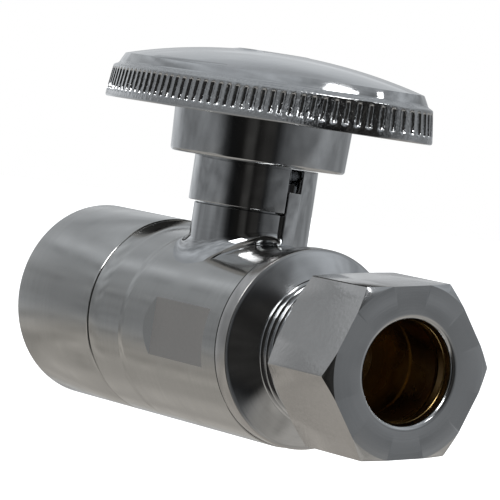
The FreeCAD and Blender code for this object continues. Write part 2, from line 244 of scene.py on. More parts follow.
# %% [markdown]
# ## Shared effects
# Chrome has almost no colour of its own: what tells one finish from another is how it breaks up its
# reflections. Three effects do that here. A lathe leaves fine rings round the part's axis, casting and
# tumbling leave a soft pebbled grain, and handling leaves cloudy patches. Picture textures would need
# unwrapping, and would show their squares in a mirror, so each effect is a node group of noise that
# puts out a height or a mask, and every finish uses it at its own strength.

# %% Helpers for nodes
def new_group(name, inputs, output):
    """Start a node group with (title, kind, default) inputs and one value that it puts out."""
    group = bpy.data.node_groups.new(name, "ShaderNodeTree")
    for title, kind, value in inputs:
        socket = group.interface.new_socket(name=title, in_out="INPUT", socket_type=kind)
        if value is not None:
            socket.default_value = value
    group.interface.new_socket(name=output, in_out="OUTPUT", socket_type="NodeSocketFloat")
    return group, group.nodes.new("NodeGroupInput").outputs, group.nodes.new("NodeGroupOutput").inputs


def feed(tree, socket, value):
    """Wire another node's output into a socket, or fill the socket with a value."""
    if isinstance(value, bpy.types.NodeSocket):
        tree.links.new(value, socket)
    else:
        socket.default_value = value


def node(tree, kind, inputs=(), **settings):
    """Add a node, set its options, then feed its inputs in order."""
    made = tree.nodes.new(kind)
    for key, value in settings.items():
        setattr(made, key, value)
    for socket, value in zip(made.inputs, inputs):
        feed(tree, socket, value)
    return made


def noise(tree, place, fineness, detail):
    """Add a noise texture and give the value it puts out."""
    texture = node(tree, "ShaderNodeTexNoise")
    for title, value in (("Vector", place), ("Scale", fineness), ("Detail", detail)):
        feed(tree, texture.inputs[title], value)
    return texture.outputs["Fac"]


def mix(tree, factor, first, second, data_type="RGBA", blend_type="MIX"):
    """Mix two colours or values, each of them a value or another node's output."""
    made = node(tree, "ShaderNodeMix", data_type=data_type, blend_type=blend_type)
    for title, value in (("Factor", factor), ("A", first), ("B", second)):
        feed(tree, made.inputs[title], value)
    return made.outputs["Result"]


# %% Lathe rings, as a node group
rings, rings_in, rings_out = new_group(
    "lathe_rings", [("Place", "NodeSocketVector", None), ("Fineness", "NodeSocketFloat", 6000.0)],
    "Height")
apart = node(rings, "ShaderNodeSeparateXYZ", [rings_in["Place"]]).outputs
flattened = node(rings, "ShaderNodeCombineXYZ", [apart["X"], apart["Y"], 0.0])
from_middle = node(rings, "ShaderNodeVectorMath", [flattened.outputs["Vector"]], operation="LENGTH")
around = node(rings, "ShaderNodeMath", [apart["Y"], apart["X"]], operation="ARCTAN2")
drift = node(rings, "ShaderNodeMath", [around.outputs["Value"], 0.00006], operation="MULTIPLY")
lines = node(rings, "ShaderNodeCombineXYZ",
             [from_middle.outputs["Value"], apart["Z"], drift.outputs["Value"]])
feed(rings, rings_out["Height"], noise(rings, lines.outputs["Vector"], rings_in["Fineness"], 3.0))
print("group", rings.name, "turns about its own Z axis")

# %% Pebbled grain and cloudy patches, as node groups
grain, grain_in, grain_out = new_group(
    "pebbled_grain", [("Place", "NodeSocketVector", None), ("Fineness", "NodeSocketFloat", 2600.0)],
    "Height")
feed(grain, grain_out["Height"], noise(grain, grain_in["Place"], grain_in["Fineness"], 2.0))

clouds, clouds_in, clouds_out = new_group(
    "handling_clouds", [("Place", "NodeSocketVector", None), ("Clear", "NodeSocketFloat", 0.1),
                        ("Cloudy", "NodeSocketFloat", 0.2)], "Roughness")
patches = noise(clouds, clouds_in["Place"], 240.0, 4.0)
spread = node(clouds, "ShaderNodeMapRange",
              [patches, 0.35, 0.7, clouds_in["Clear"], clouds_in["Cloudy"]],
              interpolation_type="SMOOTHSTEP")
feed(clouds, clouds_out["Roughness"], spread.outputs["Result"])
print("groups", grain.name, "and", clouds.name)

# %% [markdown]
# ## The finishes
# One recipe makes every finish: a tint with painted shade that darkens it along its marks, a roughness
# from the cloudy patches, and a bump from rings or grain. On plated pieces the marks are a few
# thousandths of a millimetre deep, which is enough to smear a reflection. A Mapping node turns the ring
# pattern so that its axis is the part's own.

# %% The recipe for a finish
ALONG_FLOW = (0, math.radians(-90), 0)
UPRIGHT = (0, 0, 0)


def finish(name, tint, clear, cloudy, effect, fineness, depth, turned=UPRIGHT, centre=(0, 0, 0),
           metallic=1.0, painted_hollow_shade=0.9):
    """Make a material: clear and cloudy are roughnesses, depth is the height of its marks in mm, and the
    tint is darkened along the marks as painted shade.
    """
    made = bpy.data.materials.new(name)
    made.use_nodes = True
    tree = made.node_tree
    shader = tree.nodes["Principled BSDF"].inputs
    shader["Metallic"].default_value = metallic
    place = node(tree, "ShaderNodeTexCoord").outputs["Object"]
    moved = node(tree, "ShaderNodeVectorMath", [place, Vector(centre) * mm], operation="SUBTRACT")
    lined = node(tree, "ShaderNodeMapping", [moved.outputs["Vector"]])
    lined.inputs["Rotation"].default_value = turned
    soil = node(tree, "ShaderNodeGroup", [place, clear, cloudy], node_tree=clouds)
    feed(tree, shader["Roughness"], soil.outputs["Roughness"])
    marks = node(tree, "ShaderNodeGroup", [lined.outputs["Vector"], fineness], node_tree=effect)
    bump = node(tree, "ShaderNodeBump")
    bump.inputs["Distance"].default_value = depth * mm
    feed(tree, bump.inputs["Height"], marks.outputs["Height"])
    feed(tree, shader["Normal"], bump.outputs["Normal"])
    # Painted shade: the tint is darkened by a factor where the marks rise, standing in for shade in
    # them.
    shaded_tint = (*(c * painted_hollow_shade for c in tint), 1)
    feed(tree, shader["Base Color"], mix(tree, marks.outputs["Height"], (*tint, 1), shaded_tint))
    return made


# %% The plated finishes
chrome, cool_chrome, warm_chrome = (0.62, 0.62, 0.61), (0.62, 0.63, 0.64), (0.62, 0.61, 0.60)

satin_barrel = finish("satin_chrome_barrel", chrome, 0.13, 0.24, rings, 5000, 0.002, ALONG_FLOW)
milled_flat = finish("milled_chrome_flat", (0.56, 0.54, 0.52), 0.34, 0.42, grain, 3500, 0.006)
mirror_neck = finish("mirror_chrome_neck", cool_chrome, 0.05, 0.10, rings, 2500, 0.0012,
                     UPRIGHT, stem_line)
mirror_outlet = finish("mirror_chrome_outlet", (0.60, 0.61, 0.62), 0.08, 0.14, rings, 3000, 0.002,
                       ALONG_FLOW)
satin_flange = finish("satin_chrome_flange", warm_chrome, 0.20, 0.26, rings, 5000, 0.003, ALONG_FLOW)
nut_front = finish("turned_chrome_nut_front", cool_chrome, 0.14, 0.20, rings, 4500, 0.003, ALONG_FLOW)
nut_side = finish("pebbled_chrome_nut_side", warm_chrome, 0.16, 0.24, grain, 2600, 0.016)
mirror_grip = finish("mirror_chrome_grip", cool_chrome, 0.07, 0.14, grain, 1500, 0.003)
fluted_rim = finish("fluted_chrome_rim", cool_chrome, 0.08, 0.16, grain, 2200, 0.07)
polished_ball = finish("polished_chrome_ball", cool_chrome, 0.06, 0.12, grain, 1500, 0.002)
bare_brass = finish("bare_brass", (0.42, 0.29, 0.12), 0.22, 0.34, rings, 4000, 0.004, ALONG_FLOW)
steel_screw = finish("plated_steel_screw", (0.55, 0.56, 0.57), 0.14, 0.22, grain, 4000, 0.003)
print(len([m for m in bpy.data.materials if m.use_nodes]), "metal finishes")

# %% [markdown]
# ## Seats, rings, and painted shade at the flange and under the handle
# The valve's inside hardly shows, but it is there when one looks down the bore: white seats cup the
# ball and black rings seal the stem. The gap at the flange and the hollow under the handle are painted
# near black as shade. None of these shines like metal, so they use the same recipe with no metal in it.

# %% The dull finishes
# The dull finishes darken more along their marks, as painted shade.
DULL = {"metallic": 0.0, "painted_hollow_shade": 0.8}
seat_plastic = finish("seat_plastic", (0.82, 0.81, 0.78), 0.45, 0.57, grain, 2600, 0.004, **DULL)
ring_rubber = finish("ring_rubber", (0.02, 0.02, 0.02), 0.55, 0.67, grain, 2600, 0.006, **DULL)
# Painted shade: a near-black dull finish for the shade in the gap at the flange.
painted_gap_shade = finish("painted_gap_shade", (0.015, 0.018, 0.015), 0.6, 0.72, grain, 2600, 0.01, **DULL)
# Painted shade: a near-black dull finish for the shade in the hollow under the handle.
painted_underside_shade = finish("painted_underside_shade", (0.05, 0.05, 0.05), 0.5, 0.62, grain, 2600, 0.02, **DULL)


def dress(piece, *finishes):
    """Give a piece its finishes, the first of them all over."""
    piece.data.materials.clear()
    for each in finishes:
        piece.data.materials.append(each)


def paint(piece, slot, test):
    """Give the faces that pass a test the finish in one of the piece's slots."""
    found = pick_faces(piece, test)
    piece.active_material_index = slot
    bpy.ops.object.material_slot_assign()
    bpy.ops.object.mode_set(mode="OBJECT")
    print(piece.name, "has", found, "faces of", piece.material_slots[slot].name)


inside_finishes = {
    "seat_inlet": seat_plastic, "seat_outlet": seat_plastic, "thrust_washer": seat_plastic,
    "adapter_o_ring": ring_rubber, "stem_o_ring_lower": ring_rubber, "stem_o_ring_upper": ring_rubber,
    "ball": polished_ball, "stem": bare_brass, "compression_sleeve": bare_brass,
    "handle_screw": steel_screw}
for name, inside_finish in inside_finishes.items():
    dress(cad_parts[name], inside_finish)
print(len(inside_finishes), "inside pieces dressed")

# %% [markdown]
# ## The body
# The body is one casting that has been turned, milled and plated. It could be one mesh cut with
# booleans, but a mirror shows every stretched face that a boolean leaves beside a cut. So it is built
# as closed shells that meet at real creases, each with its own even rings: the collar with the socket
# and the waterway, the barrel, the neck, and the stop wall.

# %% The collar, its socket and the waterway
collar_end = 14.05
collar_edge = 0.45
step_round = 0.3
socket_radius = 7.99
socket_depth = 12.7
mouth_edge = 0.3
inlet_radius = 3.6
chamber_start, chamber_radius = 17.55, 6.7
spigot_start, spigot_radius = 32.35, 7.58
liner_end, liner_radius = barrel_end - 0.4, 8.45
plating_depth = 2.0

outside = [*arc(collar_edge, collar_radius - collar_edge, collar_edge, 180, 90),
           *arc(collar_end - step_round, collar_radius - step_round, step_round, 90, 0),
           (collar_end, liner_radius), (liner_end, liner_radius)]
inside = [(liner_end, spigot_radius), (spigot_start, spigot_radius), (spigot_start, chamber_radius),
          (chamber_start, chamber_radius), (chamber_start, inlet_radius), (socket_depth, inlet_radius),
          (socket_depth, socket_radius), (plating_depth, socket_radius), (mouth_edge, socket_radius),
          (0, socket_radius + mouth_edge)]
collar = turn("collar", "X", (0, 0, 0), [*outside, *inside, outside[0]])
dress(collar, satin_barrel, bare_brass)
paint(collar, 1, lambda c, n: from_axis(c) < 8.2 and c.x > plating_depth or c.x > collar_end + 0.2)
smooth(collar, 30)

# %% [markdown]
# ## The barrel
# The barrel's axis lies a little under the collar's, so the step between them is deep on top and gone
# underneath, and a hollow round sweeps up that step. It is turned with a few close rings where the
# hollow and the shoulder will be. Then those rings are moved, which keeps every face long and even.

# %% The barrel, with rings for its cove and shoulder
barrel_drop = 0.37
barrel_radius = collar_radius - barrel_drop
barrel_line = (0, 0, -barrel_drop)
barrel_start, barrel_inside = collar_end - step_round, 8.3
barrel_edge = 0.1
shoulder = 19.6
cove_length, cove_top, cove_steps = 1.9, 0.16, 12
flat_start, flat_end, flat_reach = 22.1, 34.3, 8.73

cove_places = [collar_end + cove_length * (1 - math.cos(math.pi / 2 * k / cove_steps))
               for k in range(cove_steps + 1)]
shoulder_places = [shoulder + step for step in (-0.5, -0.2, 0, 0.25, 0.5)]
barrel_places = [barrel_start, *cove_places, *shoulder_places, flat_start, flat_end]
barrel = turn("barrel", "X", barrel_line,
              [*((place, barrel_radius) for place in barrel_places),
               *arc(barrel_end - barrel_edge, barrel_radius - barrel_edge, barrel_edge, 90, 0, 3),
               (barrel_end, barrel_inside), (barrel_start, barrel_inside),
               (barrel_start, barrel_radius)])

# %% Sweep the barrel up to the collar in a cove
cove_power = 2.2
swept = 0
for vert in barrel.data.vertices:
    x, reach = vert.co.x / mm, from_axis(vert.co / mm)
    if x < collar_end + cove_length and reach > barrel_inside + 0.3:
        step = max(collar_radius - cove_top - reach, 0)
        share = 1 - min(max((x - collar_end) / cove_length, 0), 1)
        grow = (reach + step * share ** cove_power) / reach
        vert.co.y *= grow
        vert.co.z *= grow
        swept += 1
print(swept, "points moved into the cove")

# %% Draw the barrel in at the sides beyond its shoulder
waist = 0.984
shoulder_widths = {shoulder: 0.993, shoulder + 0.25: 0.9856}
for vert in barrel.data.vertices:
    x = vert.co.x / mm
    if x > shoulder + 0.3:
        vert.co.y *= waist
    elif x > shoulder - 0.1:
        vert.co.y *= shoulder_widths[min(shoulder_widths, key=lambda place: abs(place - x))]
print("the barrel narrows to", round(2 * barrel_radius * waist, 2), "mm")

# %% [markdown]
# ## The wrench flats
# A flat is milled across the cast barrel on each side, so that a wrench can hold it. Its end towards the
# inlet runs out in a curve. So the mill is a box whose end on that side slants. A boolean is right
# here, because the flat is meant to look cut.

# %% Mill the flats, with a shallow run-out towards the inlet
run_out = 2.6
mill_depth, mill_width = 1.0, 30
for side in (-1, 1):
    start_clean()
    bpy.ops.mesh.primitive_cube_add(size=1, location=((flat_start + flat_end) / 2 * mm,
                                    side * (flat_reach + mill_depth / 2) * mm, 0))
    cutter = bpy.context.object
    cutter.scale = ((flat_end - flat_start) * mm, mill_depth * mm, mill_width * mm)
    settle(cutter, "mill")
    for vert in cutter.data.vertices:
        if abs(vert.co.y) / mm < flat_reach + 0.1 and vert.co.x / mm < flat_start + 0.1:
            vert.co.x += run_out * mm
    carve(barrel, cutter)
dress(barrel, satin_barrel, milled_flat)
paint(barrel, 1, lambda c, n: abs(n.y) > 0.999 and abs(abs(c.y) - flat_reach) < 0.02
      and flat_start < c.x < flat_end)
smooth(barrel, 12)

# %% [markdown]
# ## The neck
# The neck stands on the barrel like a chimney, with a hollow round at its foot. Where two round bars
# cross, the foot has to rise and fall. So the neck is turned as if it stood on a flat plate, and then
# every point of its foot is lowered by as much as the barrel falls away under it.

# %% The neck, with a foot that follows the barrel
neck_radius, neck_top, neck_edge = 5.45, 11.9, 0.12
upper_radius, upper_top, upper_edge = 4.9, 14.95, 0.1
foot = 1.3
stem_bore = 3.05


def barrel_top(y):
    """Height of the barrel's surface above the waterway, at a distance from its crown."""
    return math.sqrt(barrel_radius ** 2 - y ** 2) - barrel_drop


crown = barrel_top(0)
neck_base = crown - 1.2
neck_outline = [
    (neck_base, neck_radius + foot), *arc(crown + foot, neck_radius + foot, foot, 180, 270, 12),
    (neck_top - neck_edge, neck_radius), (neck_top, neck_radius - neck_edge), (neck_top, upper_radius),
    (upper_top - upper_edge, upper_radius), (upper_top, upper_radius - upper_edge),
    (upper_top, stem_bore), (neck_base, stem_bore), (neck_base, neck_radius + foot)]
neck = turn("neck", "Z", stem_line, neck_outline)
for vert in neck.data.vertices:
    if vert.co.z / mm < crown + foot + 0.01:
        vert.co.z += (barrel_top(vert.co.y / mm / waist) - crown) * mm
dress(neck, mirror_neck)
smooth(neck, 30)

# %% [markdown]
# ## The stop wall
# A quarter of a wall stands beside the neck, with a low step at its first edge. The handle's apron runs
# against it, and that is what stops the handle at a quarter turn. A curved wall is a section spun
# round the stem, and the apron is made the same way, so the spin is a helper. Without a window the
# rotate and spin operators turn clockwise seen from above, so their angles are given the other way.

# %% The stop wall, spun from its section and stepped
def spin_plate(name, inner, outer, bottom, top, start_deg, sweep_deg):
    """Stand a plate's section on a radius of the stem, turn it to its start, and spin it on."""
    start_clean()
    bpy.ops.mesh.primitive_plane_add(size=1, rotation=(math.pi / 2, 0, 0))
    plate = bpy.context.object
    plate.scale = ((outer - inner) * mm, (top - bottom) * mm, 1)
    plate.location = ((stem_x + (outer + inner) / 2) * mm, 0, (top + bottom) / 2 * mm)
    settle(plate, name)
    pivot = Vector(stem_line) * mm
    bpy.ops.object.mode_set(mode="EDIT")
    bpy.ops.mesh.select_all(action="SELECT")
    bpy.ops.transform.rotate(value=-math.radians(start_deg), orient_axis="Z", center_override=pivot)
    bpy.ops.mesh.spin(steps=abs(sweep_deg), angle=-math.radians(sweep_deg), center=pivot,
                      axis=(0, 0, 1))
    close_shell()
    return plate


def bearing_of(point):
    """Degrees round the stem, from the flow direction, of a point in mm."""
    return math.degrees(math.atan2(point.y, point.x - stem_x))


stop_radius, stop_inner, stop_step = 5.98, stem_bore + 0.3, 14.1
stop_start_deg, stop_step_deg, stop_sweep_deg = 2, 17, 86
stop_lift = 0.22

stop_wall = spin_plate("stop_wall", stop_inner, stop_radius, neck_base, stop_step,
                       stop_start_deg, stop_sweep_deg)
pick_faces(stop_wall, lambda c, n: n.z > 0.9 and bearing_of(c) > stop_step_deg)
raise_wall = (0, 0, (stop_top + stop_lift - stop_step) * mm)
bpy.ops.mesh.extrude_region_move(TRANSFORM_OT_translate={"value": raise_wall})
soften(stop_wall, 0.22, 50, 3)
dress(stop_wall, mirror_neck)
smooth(stop_wall, 30)

# %% The whole body
body = join([collar, barrel, neck, stop_wall], "valve_body")
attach(body, "valve")
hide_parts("body")

# %% [markdown]
# ## The outlet adapter
# The adapter screws into the barrel up to its flange, and carries the thread that the nut runs on. The
# flange, the hollow face in front of it and the nose come off the lathe. The hollow isn't part of a
# circle: it leaves the flange gently and drops faster towards the thread, so it follows a curve that
# is pulled towards a point. A near-black ring painted where the flange meets the barrel stands for the
# shade in the gap.

# %% The flange, the hollow and the nose
flange_front = barrel_end + 2.0
thread_start = flange_front + 1.25
thread_root, thread_crest = 6.52, 7.12
nose_end, nose_edge = adapter_high.x, 0.5
adapter_bore, tube_bore, mouth = 3.4, 4.8325, 5.88
mouth_depth, tube_depth = 1.5, 5.5
spigot_skin = 7.5
land, rim_edge = 0.12, 0.1
seam, seam_inset, seam_start = 0.3, 0.14, barrel_end - 0.02


def pulled_curve(first, pull, last, steps=12):
    """Points on a curve from the first to the last that is pulled towards another point."""
    shares = [k / steps for k in range(steps + 1)]
    return [tuple((1 - t) ** 2 * a + 2 * t * (1 - t) * m + t ** 2 * b
                  for a, m, b in zip(first, pull, last)) for t in shares]


hollow_top = flange_radius - land
hollow = pulled_curve((flange_front, hollow_top), (flange_front + 0.75, hollow_top - 1.6),
                      (thread_start + 0.3, thread_root))
adapter_outline = [
    (adapter_low.x, adapter_bore), (adapter_low.x, spigot_skin), (seam_start, spigot_skin),
    (seam_start, flange_radius - seam_inset), (barrel_end + seam, flange_radius - seam_inset),
    *arc(barrel_end + seam + rim_edge, flange_radius - rim_edge, rim_edge, 180, 90, 3)[1:],
    *arc(flange_front - rim_edge, flange_radius - rim_edge, rim_edge, 90, 20, 3), *hollow,
    (nose_end - nose_edge, thread_root), (nose_end, thread_root - 0.4), (nose_end, mouth),
    (nose_end - mouth_depth, tube_bore), (nose_end - tube_depth, tube_bore),
    (nose_end - tube_depth, adapter_bore), (adapter_low.x, adapter_bore)]
adapter_body = turn("adapter_body", "X", (0, 0, 0), adapter_outline)
dress(adapter_body, mirror_outlet, satin_flange, bare_brass, painted_gap_shade)
paint(adapter_body, 1, lambda c, n: c.x < flange_front + 0.01 and from_axis(c) > 8)
paint(adapter_body, 2, lambda c, n: from_axis(c) < 6 or c.x < barrel_end - 0.1)
# Painted shade: the seam ring behind the flange gets the near-black finish for the shade in the gap.
paint(adapter_body, 3, lambda c, n: c.x < barrel_end + seam + 0.01 and from_axis(c) > 7.6)
smooth(adapter_body, 30)

# %% [markdown]
# ## The thread
# A thread is a ridge that climbs as it turns. A row of rings would look right from far away, but the
# ends of the thread would give it away. So one small ridge section is drawn, its corners are rounded,
# and a Screw modifier winds it along the axis. The two open ends are then closed.

# %% The ridge's section
pitch = 1.0583
turns = (nose_end - 0.4 - thread_start) / pitch
ridge_width, ridge_sink, ridge_taper = 0.94 * pitch, 0.2, 0.8
ridge_middle = thread_start + pitch * 0.5

start_clean()
bpy.ops.mesh.primitive_plane_add(size=1)
thread = bpy.context.object
thread.scale = (ridge_width * mm, (thread_crest - thread_root + ridge_sink) * mm, 1)
thread.location = (ridge_middle * mm, (thread_crest + thread_root - ridge_sink) / 2 * mm, 0)
settle(thread, "outlet_thread")
for vert in thread.data.vertices:
    if vert.co.y / mm > thread_crest - 0.01:
        vert.co.x += (ridge_middle - vert.co.x / mm) * ridge_taper * mm
bpy.ops.object.mode_set(mode="EDIT")
bpy.ops.mesh.select_all(action="SELECT")
bpy.ops.mesh.bevel(offset=0.06 * mm, segments=2, affect="VERTICES")
bpy.ops.mesh.select_all(action="SELECT")
bpy.ops.mesh.delete(type="ONLY_FACE")
bpy.ops.object.mode_set(mode="OBJECT")
print("the ridge's section has", len(thread.data.vertices), "points, for", round(turns, 2), "turns")

# %% Wind the ridge and close its ends
wind = thread.modifiers.new("wind", "SCREW")
wind.axis = "X"
wind.angle = 2 * math.pi * turns
wind.screw_offset = (turns - 1) * pitch * mm
wind.steps = wind.render_steps = int(96 * turns)
bpy.ops.object.modifier_apply(modifier=wind.name)
bpy.ops.object.mode_set(mode="EDIT")
bpy.ops.mesh.select_mode(type="EDGE")
bpy.ops.mesh.select_all(action="DESELECT")
bpy.ops.mesh.select_non_manifold()
bpy.ops.mesh.edge_face_add()
bpy.ops.mesh.select_all(action="SELECT")
bpy.ops.mesh.normals_make_consistent(inside=False)
bpy.ops.object.mode_set(mode="OBJECT")
dress(thread, mirror_outlet)
smooth(thread, 40)
adapter = join([adapter_body, thread], "outlet_adapter_piece")
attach(adapter, "valve")
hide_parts("outlet_adapter")

# %% [markdown]
# ## The compression nut
# A hexagon nut starts as hexagon bar. The lathe then takes its corners off at both ends with a flat
# cone, which leaves a curved chamfer at each corner, and bores it. So the hexagon is cut down to what
# it shares with a turned blank, exactly as the metal is.

# %% Hexagon bar
nut_start, nut_end = nut_low.x, nut_high.x
nut_across = 15.875
nut_turn = math.radians(7.7)

start_clean()
bpy.ops.mesh.primitive_cylinder_add(vertices=6, radius=nut_across / math.sqrt(3) * mm,
                                    depth=(nut_end - nut_start + 1) * mm,
                                    location=((nut_start + nut_end) / 2 * mm, 0, 0),
                                    rotation=(0, math.pi / 2, 0))
nut = settle(bpy.context.object, "compression_nut_piece")
corner = max((v.co for v in nut.data.vertices), key=lambda co: math.cos(math.atan2(co.z, co.y)))
away = nut_turn - math.atan2(corner.z, corner.y)
bpy.ops.object.mode_set(mode="EDIT")
bpy.ops.mesh.select_all(action="SELECT")
bpy.ops.transform.rotate(value=-away, orient_axis="X", center_override=(0, 0, 0))
bpy.ops.object.mode_set(mode="OBJECT")
corners = {round(math.degrees(math.atan2(v.co.z, v.co.y)), 1) for v in nut.data.vertices}
print("nut corners at", sorted(corners))
long_edges = pick_edges(nut, lambda edge: abs(edge.verts[0].co.x - edge.verts[1].co.x) > mm)
bpy.ops.mesh.bevel(offset=0.12 * mm, segments=3, affect="EDGES")
print(long_edges, "long edges rounded")

# %% The turned blank, and what the two share
chamfer = math.tan(math.radians(30))
flat_circle = nut_across / 2 + 0.26
blank_radius = 9.8
chamfer_length = (blank_radius - flat_circle) * chamfer
thread_bore = 7.26
bore_edge = 0.55
cone_end, cone_length = nut_end - 2.3, 1.4
bore_wide = tube_bore + 0.06

blank_outline = [
    (nut_start, thread_bore), (nut_start, flat_circle), (nut_start + chamfer_length, blank_radius),
    (nut_end - chamfer_length, blank_radius), (nut_end, flat_circle),
    *arc(nut_end - bore_edge, tube_bore + bore_edge, bore_edge, 0, -90, 8),
    (nut_end - 1.2, tube_bore), (nut_end - 1.25, tube_bore - 0.05), (nut_end - 1.4, tube_bore - 0.05),
    (nut_end - 1.5, bore_wide), (cone_end, bore_wide), (cone_end - cone_length, tube_bore + 1.45),
    (cone_end - cone_length, thread_bore), (nut_start, thread_bore)]
blank = turn("blank", "X", (0, 0, 0), blank_outline)
carve(nut, blank, "INTERSECT")
soften(nut, 0.07, 24, 2)

# %% The nut's three finishes
lip_end = nut_end - 1.19
dress(nut, nut_side, nut_front, bare_brass)
paint(nut, 1, lambda c, n: n.x > 0.4 and from_axis(c) > tube_bore + 0.02 and c.x > nut_end - 1.2
      or from_axis(c) < tube_bore + bore_edge and c.x > lip_end)
paint(nut, 2, lambda c, n: from_axis(c) < thread_bore + 0.04 and nut_start + 0.01 < c.x < lip_end)
smooth(nut, 20)
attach(nut, "nut")
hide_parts("compression_nut")
report(nut)

# %% [markdown]
# ## The handle's grip
# The grip is an oval band with a hundred round-ended flutes in its side. Cutting a hundred pockets
# would leave a ragged mesh, so we model one flute flat, with the strip of rim above and below it, copy
# it in a row with an Array modifier, and bend the row round an oval with a Curve modifier.

# %% An oval to bend round, and the width of one flute
flutes = 100
start_clean()
bpy.ops.curve.primitive_bezier_circle_add(radius=1)
oval = bpy.context.object
oval.scale = (grip_length * mm, grip_width * mm, 1)
settle(oval, "grip_oval")
oval.data.resolution_u = 64
oval.data.use_radius = False
tile_width = oval.data.splines[0].calc_length() / mm / flutes
print("one flute takes", round(tile_width, 3), "mm of the rim")

# %% A round-ended flute, drawn flat
band_bottom = 20.6
flute_low, flute_high = band_bottom + 0.55, band_bottom + 3.02
flute_half = 0.38
flute_middle = (flute_low + flute_high) / 2
half_side = math.radians(15)

start_clean()
bpy.ops.mesh.primitive_circle_add(vertices=12, radius=flute_half * mm, fill_type="NGON",
                                  rotation=(-math.pi / 2, 0, 0))
grip = settle(bpy.context.object, "grip")
bpy.ops.object.mode_set(mode="EDIT")
bpy.ops.mesh.select_all(action="SELECT")
bpy.ops.transform.rotate(value=half_side, orient_axis="Y", center_override=(0, 0, 0))
bpy.ops.object.mode_set(mode="OBJECT")
for vert in grip.data.vertices:
    centre = flute_high - flute_half if vert.co.z > 0 else flute_low + flute_half
    vert.co.x *= 1 / math.cos(half_side)
    vert.co.z += centre * mm
print("a flute is", round(flute_high - flute_low, 2), "mm tall and", 2 * flute_half, "mm wide")

# %% A frame of flat rim round the flute, and the flute sunk in it
strip_low, strip_high = band_bottom + 0.44, band_bottom + 3.1
frame_wide, frame_tall = 1.3, 1.1
middle = Vector((0, 0, flute_middle * mm))

bpy.ops.object.mode_set(mode="EDIT")
bpy.ops.mesh.select_mode(type="EDGE")
bpy.ops.mesh.select_all(action="SELECT")
bpy.ops.mesh.extrude_edges_move(TRANSFORM_OT_translate={"value": (0, 0, 0)})
bpy.ops.transform.resize(value=(frame_wide, 1, frame_tall), center_override=middle)
bpy.ops.object.mode_set(mode="OBJECT")
for vert in grip.data.vertices:
    if vert.select:
        x, rise = vert.co.x / mm / frame_wide, (vert.co.z - middle.z) / mm / frame_tall
        side = math.copysign(tile_width / 2, x) if abs(x) > 0.2 else x
        level = vert.co.z / mm
        if abs(rise) > (flute_high - flute_low) / 2 - 0.2:
            level = strip_high if rise > 0 else strip_low
        vert.co = (side * mm, 0, level * mm)
for wall, depth in ((0.04, 0.11), (0.09, 0.1), (0.12, 0.07)):
    pick_faces(grip, lambda c, n: abs(c.x) < 0.02 and abs(c.z - flute_middle) < 0.02)
    bpy.ops.mesh.inset(thickness=wall * mm, depth=-depth * mm)
bpy.ops.object.mode_set(mode="OBJECT")
print("flute bottom at", round(min(v.co.y for v in grip.data.vertices) / mm, 3), "mm")

# %% [markdown]
# ## The rim above and below the flutes
# Above the flutes the rim has a narrow step, a rounded bead and a plain slope up to the dome. Below
# them it has a small lip, and then turns under into the hollow. The open edges of the one flute are
# pulled through these rows by extruding, so the whole rim is still one even strip when it is copied.
# The rim leans in as it rises, as a casting must to leave its mould.

# %% The rim, row by row
lean_in, lean_height = 0.42, 3.25
lean = lean_in / lean_height
rows_up = [(3.16, 0.42), (3.23, 0.48), (3.3, 0.6), (3.42, 0.84), (3.54, 0.95), (3.68, 1.01),
           (4.0, 1.17), (4.3, 1.33), (4.45, 1.43)]
rows_down = [(0.2, 0.04), (0.08, 0.07), (0, 0.2), (0, 2.0), (0.12, 2.2), (1.9, 2.2)]


def pull_rows(piece, level, rows):
    """Pull the edges at a level through rows of (height over the rim's foot, how far inside it)."""
    inset = lean * (level - band_bottom)
    pick_edges(piece, lambda edge: is_level(edge, level))
    for rise, next_inset in rows:
        slide = (0, (inset - next_inset) * mm, (band_bottom + rise - level) * mm)
        bpy.ops.mesh.extrude_region_move(TRANSFORM_OT_translate={"value": slide})
        level, inset = band_bottom + rise, next_inset
    bpy.ops.object.mode_set(mode="OBJECT")


for vert in grip.data.vertices:
    vert.co.y -= lean * (vert.co.z - band_bottom * mm)
pull_rows(grip, strip_high, rows_up)
pull_rows(grip, strip_low, rows_down)
report(grip)

# %% Copy the flute along the row, and bend the row round the oval
start_clean(grip)
row = grip.modifiers.new("row", "ARRAY")
row.count = flutes
row.use_relative_offset = False
row.use_constant_offset = True
row.constant_offset_displace = (tile_width * mm, 0, 0)
row.use_merge_vertices = True
row.merge_threshold = 0.01 * mm
bend = grip.modifiers.new("bend", "CURVE")
bend.object = oval
bend.deform_axis = "POS_X"
bpy.ops.object.modifier_apply(modifier=row.name)
bpy.ops.object.modifier_apply(modifier=bend.name)
bpy.data.objects.remove(oval)
for vert in grip.data.vertices:
    vert.co.x += stem_x * mm
pick_faces(grip, lambda c, n: True)
bpy.ops.mesh.remove_doubles(threshold=0.03 * mm)
bpy.ops.object.mode_set(mode="OBJECT")
print("grip half length", round(max(v.co.x for v in grip.data.vertices) / mm - stem_x, 3),
      "half width", round(max(v.co.y for v in grip.data.vertices) / mm, 3))

# %% [markdown]
# ## The handle's dome
# The top is a shallow dome from the oval rim to the round seat of the screw. A squashed sphere would
# meet neither. So we pull the rim's open loop inwards in steps, each a little rounder than the last,
# so that the faces run evenly from one outline to the other, and then lift each point onto the dome.

# %% The dome
def pick_rim(piece, level):
    """Select the open loop that lies at a level, and stay in edit mode."""
    return pick_edges(piece, lambda edge: edge.is_boundary and is_level(edge, level))


def pull_in(size, next_size, rise=0.0):
    """Pull the selected loop to another size, given as (half length, half width), and up or down."""
    bpy.ops.mesh.extrude_region_move(TRANSFORM_OT_translate={"value": (0, 0, rise * mm)})
    bpy.ops.transform.resize(value=(next_size[0] / size[0], next_size[1] / size[1], 1),
                             center_override=Vector(stem_line) * mm)


def pull_between(size, end_size, steps):
    """Pull the selected loop to another size in even steps."""
    sizes = [tuple(a + (b - a) * k / steps for a, b in zip(size, end_size)) for k in range(steps + 1)]
    for size, next_size in zip(sizes, sizes[1:]):
        pull_in(size, next_size)


